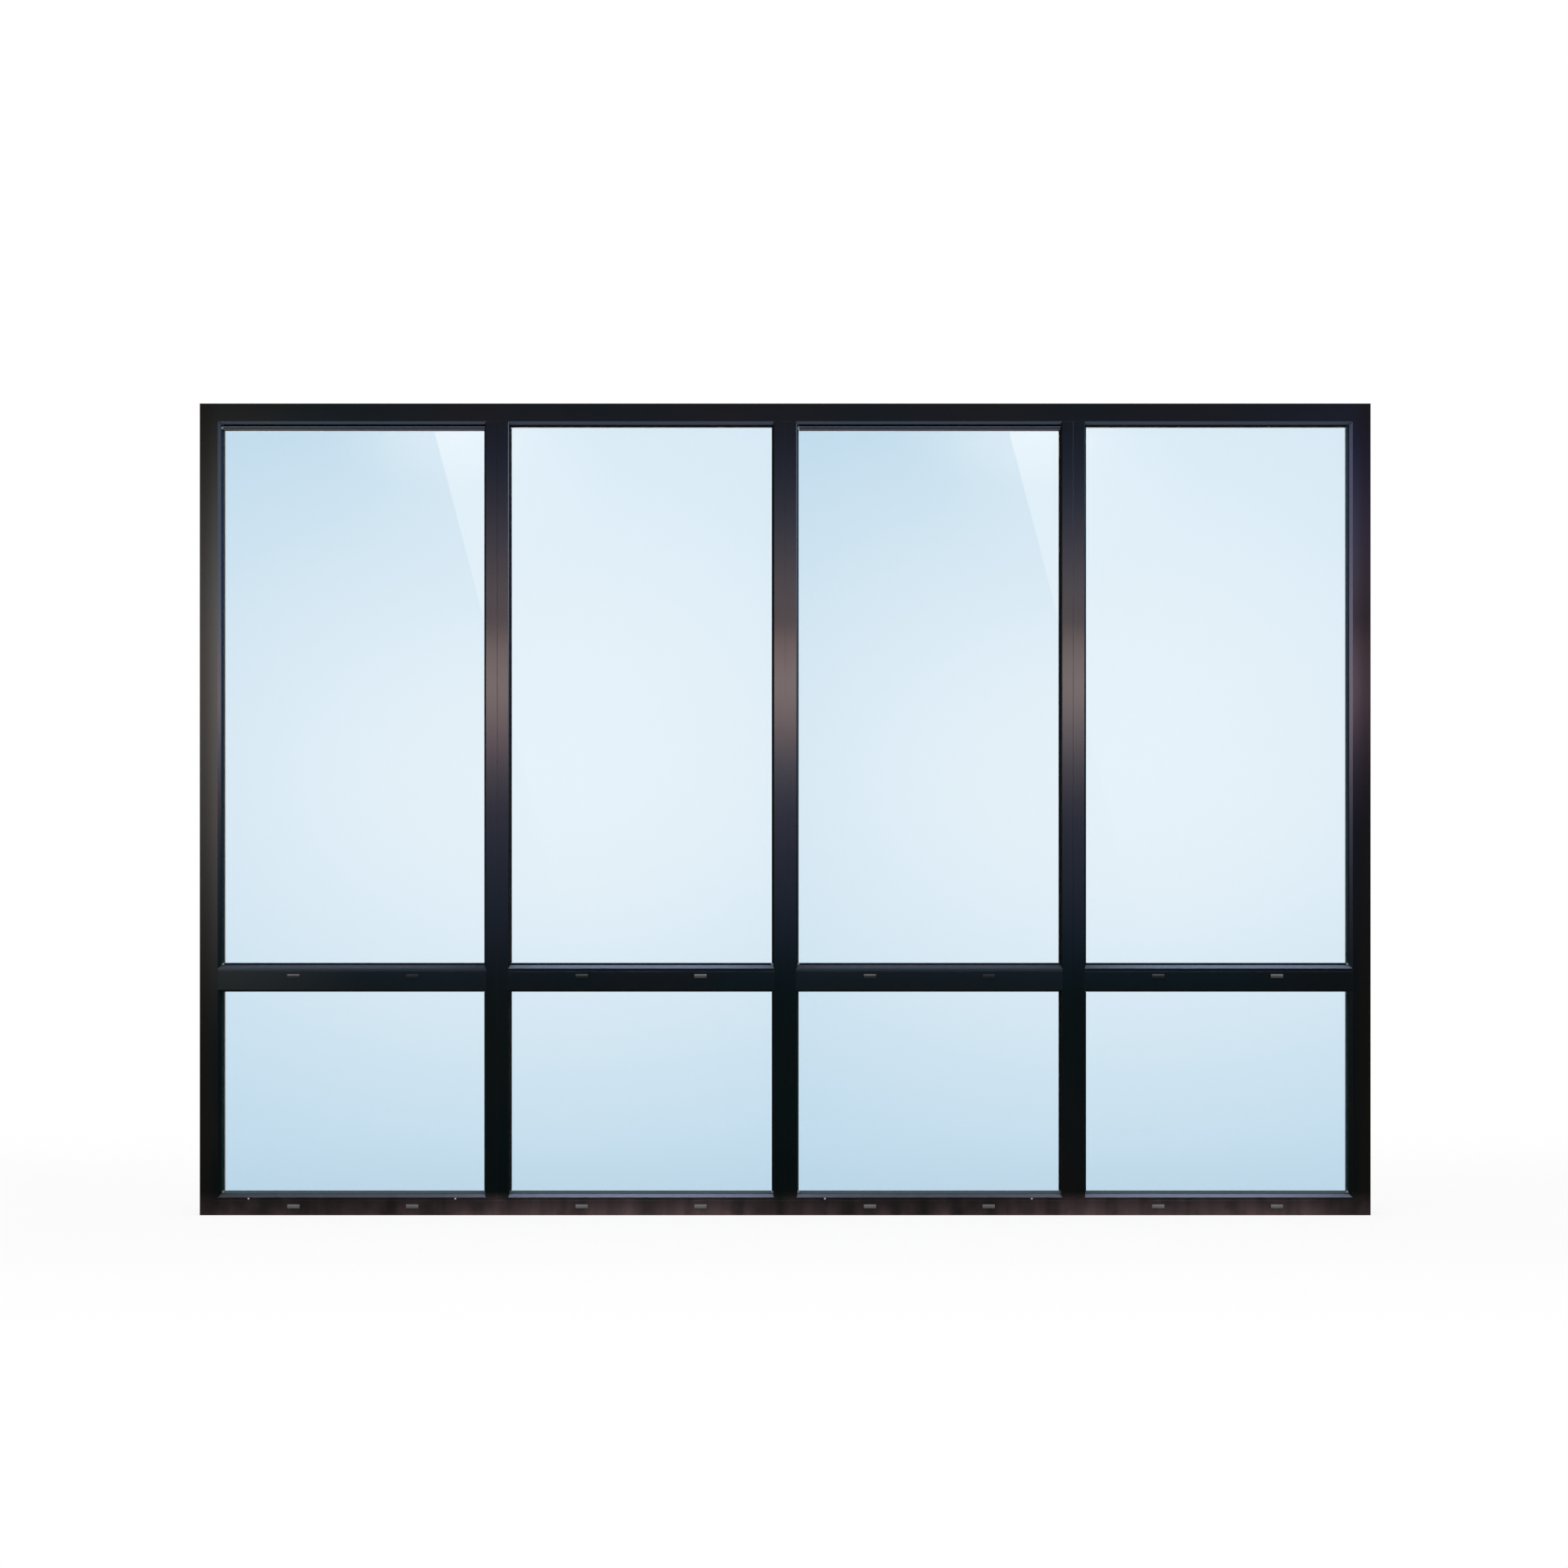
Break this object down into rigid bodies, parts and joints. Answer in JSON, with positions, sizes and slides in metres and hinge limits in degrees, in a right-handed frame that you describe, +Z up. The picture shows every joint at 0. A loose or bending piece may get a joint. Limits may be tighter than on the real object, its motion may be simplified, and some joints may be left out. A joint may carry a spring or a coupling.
{
  "type": "fixed picture window",
  "caption": "Fixed picture window: dark thermally broken aluminium frame, tall insulating panes over low ones in equal bays, with hooded drain caps.",
  "frame": {"origin": "on the sill's flat underside, in the middle of its length, on the line of the fixing screws 16 mm in from the room face", "axes": "+X along the width to the right as seen from the weather side, +Y from the weather side to the room, +Z up"},
  "size_m": [3, 0.075, 2.08],
  "materials": {
    "frame_metal": "satin dark bronze powder coat on extruded aluminium",
    "glass": "clear insulating glass with a pale blue cast",
    "gasket": "black extruded rubber, matt",
    "thermal_strip": "black glass-filled plastic, matt",
    "spacer": "mill-finish bent bar",
    "drain_cap": "grey moulded plastic, matt",
    "setting_block": "black moulded plastic"
  },
  "bodies": {
    "root": {"bay_1_beads": "frame_metal", "bay_2_beads": "frame_metal", "bay_3_beads": "frame_metal", "bay_4_beads": "frame_metal", "frame_level_thermal_strips": "thermal_strip", "frame_upright_thermal_strips": "thermal_strip", "head_back": "frame_metal", "head_front": "frame_metal", "left_jamb_back": "frame_metal", "left_jamb_front": "frame_metal", "lower_glass_1": "glass", "lower_glass_2": "glass", "lower_glass_3": "glass", "lower_glass_4": "glass", "lower_spacers": "spacer", "mullion_centre_back": "frame_metal", "mullion_centre_front": "frame_metal", "mullion_left_back": "frame_metal", "mullion_left_front": "frame_metal", "mullion_right_back": "frame_metal", "mullion_right_front": "frame_metal", "mullion_thermal_strips": "thermal_strip", "right_jamb_back": "frame_metal", "right_jamb_front": "frame_metal", "room_gaskets": "gasket", "setting_blocks": "setting_block", "sill_back": "frame_metal", "sill_drain_caps": "drain_cap", "sill_front": "frame_metal", "transom_1_back": "frame_metal", "transom_1_front": "frame_metal", "transom_2_back": "frame_metal", "transom_2_front": "frame_metal", "transom_3_back": "frame_metal", "transom_3_front": "frame_metal", "transom_4_back": "frame_metal", "transom_4_front": "frame_metal", "transom_drain_caps": "drain_cap", "transom_thermal_strips": "thermal_strip", "upper_glass_1": "glass", "upper_glass_2": "glass", "upper_glass_3": "glass", "upper_glass_4": "glass", "upper_spacers": "spacer", "weather_gaskets": "gasket"}
  },
  "joints": []
}
